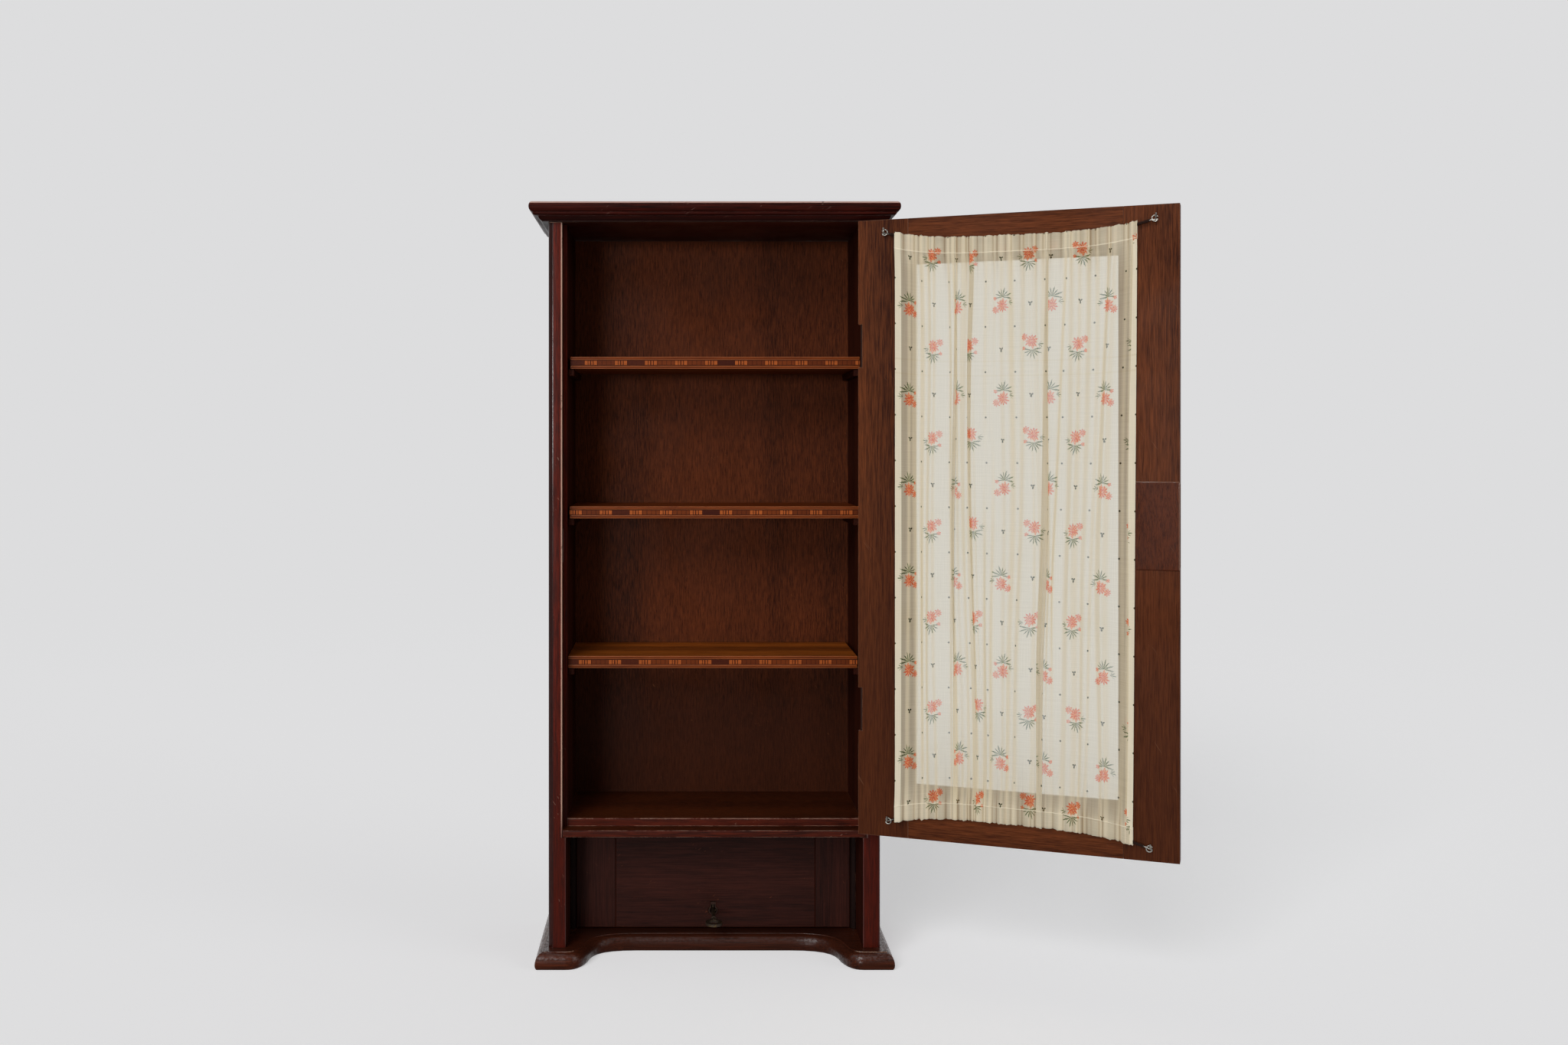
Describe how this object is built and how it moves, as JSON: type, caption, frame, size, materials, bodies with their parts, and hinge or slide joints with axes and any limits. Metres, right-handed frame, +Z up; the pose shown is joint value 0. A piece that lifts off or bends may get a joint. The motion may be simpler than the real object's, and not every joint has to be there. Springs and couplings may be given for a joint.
{
  "type": "glass-door cabinet",
  "caption": "Small shallow wooden cabinet with a curtained glass door on knuckle hinges, banded shelves, an open niche with a locked flap, and a moulded ogee plinth.",
  "frame": {"origin": "middle of the case's width and depth, on the plinth's underside", "axes": "+Z up, -Y out of the front, +X to the right as one faces the front; the door is hung on the +X side"},
  "size_m": [0.8009, 0.3523, 0.994],
  "materials": {
    "case_wood": "dark red-brown, polished, worn bright along its edges",
    "back_wood": "dark red-brown, satin",
    "flap_wood": "dark brown, satin",
    "door_wood": "mid-brown oak, dull, open pores",
    "shelf_wood": "orange-brown, satin",
    "inlay": "light and dark banding",
    "brass": "dull, aged",
    "steel": "dull wire",
    "iron": "blackened",
    "glass": "clear",
    "curtain_cloth": "sheer cream muslin with a small sprigged print"
  },
  "bodies": {
    "case": {"plinth": "case_wood", "side_left": "case_wood", "side_right": "case_wood", "top_board": "case_wood", "cornice_front": "case_wood", "cornice_left": "case_wood", "cornice_right": "case_wood", "cupboard_floor": "case_wood", "back_panel": "back_wood", "shelf_lower": "shelf_wood", "shelf_middle": "shelf_wood", "shelf_upper": "shelf_wood", "shelf_inlay_lower": "inlay", "shelf_inlay_middle": "inlay", "shelf_inlay_upper": "inlay", "cleat_lower_left": "back_wood", "cleat_lower_right": "back_wood", "cleat_middle_left": "back_wood", "cleat_middle_right": "back_wood", "cleat_upper_left": "back_wood", "cleat_upper_right": "back_wood", "strike_plate": "steel", "hinge_lower_case_leaf": "iron", "hinge_upper_case_leaf": "iron", "flap_jamb_left": "case_wood", "flap_jamb_right": "case_wood", "flap_hinge_left_case_leaf": "iron", "flap_hinge_right_case_leaf": "iron"},
    "door": {"door_stile_hinge": "door_wood", "door_stile_lock": "door_wood", "door_rail_top": "door_wood", "door_rail_bottom": "door_wood", "glass_pane": "glass", "glazing_bead_top": "door_wood", "glazing_bead_bottom": "door_wood", "glazing_bead_hinge": "door_wood", "glazing_bead_lock": "door_wood", "hinge_lower_door_leaf": "iron", "hinge_upper_door_leaf": "iron", "door_lock_case": "steel", "door_lock_cover": "door_wood", "door_escutcheon": "brass", "curtain": "curtain_cloth", "curtain_wire_top": "steel", "curtain_wire_bottom": "steel", "curtain_hook_top_hinge": "steel", "curtain_hook_top_free": "steel", "curtain_hook_bottom_hinge": "steel", "curtain_hook_bottom_free": "steel"},
    "door_bolt": {"door_lock_bolt": "brass"},
    "flap": {"flap_board": "flap_wood", "flap_clamp_left": "flap_wood", "flap_clamp_right": "flap_wood", "flap_hinge_left_flap_leaf": "iron", "flap_hinge_right_flap_leaf": "iron", "flap_lock_case": "brass", "flap_keyhole_liner": "iron"},
    "key": {"flap_key": "brass"},
    "flap_bolt": {"flap_lock_bolt": "brass"}
  },
  "joints": [
    {"name": "door_hinge", "type": "hinge", "parent": "case", "child": "door", "pos_m": [0.1952, -0.095, 0.57], "axis": [0, 0, 1], "range_deg": [-158.8, 15]},
    {"name": "door_bolt_slide", "type": "slide", "parent": "door", "child": "door_bolt", "axis": [0.9323, -0.3616, 0], "range_m": [0, 0.006]},
    {"name": "flap_hinge", "type": "hinge", "parent": "case", "child": "flap", "pos_m": [0, -0.0161, 0.1634], "axis": [-1, 0, 0], "range_deg": [0, 90]},
    {"name": "flap_key_turn", "type": "hinge", "parent": "flap", "child": "key", "pos_m": [0, -0.04, 0.047], "axis": [0, -1, 0], "range_deg": [0, 90]},
    {"name": "flap_bolt_slide", "type": "slide", "parent": "flap", "child": "flap_bolt", "axis": [0, 0, -1], "range_m": [0, 0.006]}
  ],
  "couplings": [
    {"joint": "flap_bolt_slide", "follows": "flap_key_turn", "m_per_rad": 0.0038197}
  ]
}
